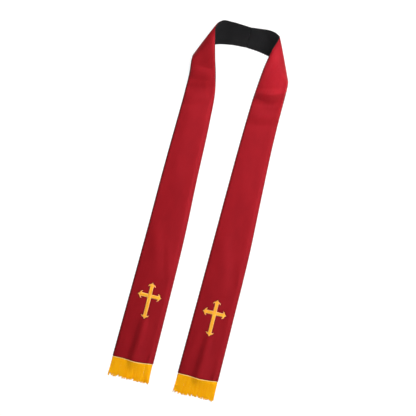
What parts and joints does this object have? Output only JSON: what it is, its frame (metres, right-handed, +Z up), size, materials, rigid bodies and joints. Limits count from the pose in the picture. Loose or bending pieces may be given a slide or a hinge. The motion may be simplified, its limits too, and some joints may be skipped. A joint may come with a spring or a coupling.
{
  "type": "clergy stole",
  "caption": "Long narrow red satin vestment band laid flat and face up, its neck loop rolled over to show a black lining, with a gold cross on each leg and gold fringe at the hems.",
  "frame": {"origin": "on the surface that the stole lies on, under the middle of its whole outline from above", "axes": "+Z up from that surface, out of the satin face; +Y along the legs, from the fringed hems to the neck; +X to the right as the stole is seen from above with its neck at the top"},
  "size_m": [0.3366, 1.1508, 0.0546],
  "materials": {
    "red_satin": "satin",
    "black_lining": "satin",
    "gold_embroidery": "satin",
    "gold_fringe": "satin"
  },
  "bodies": {
    "root": {"panel_left": "red_satin", "panel_right": "red_satin", "lining_left": "black_lining", "lining_right": "black_lining", "cross_left": "gold_embroidery", "cross_right": "gold_embroidery", "fringe_left": "gold_fringe", "fringe_right": "gold_fringe"}
  },
  "joints": []
}
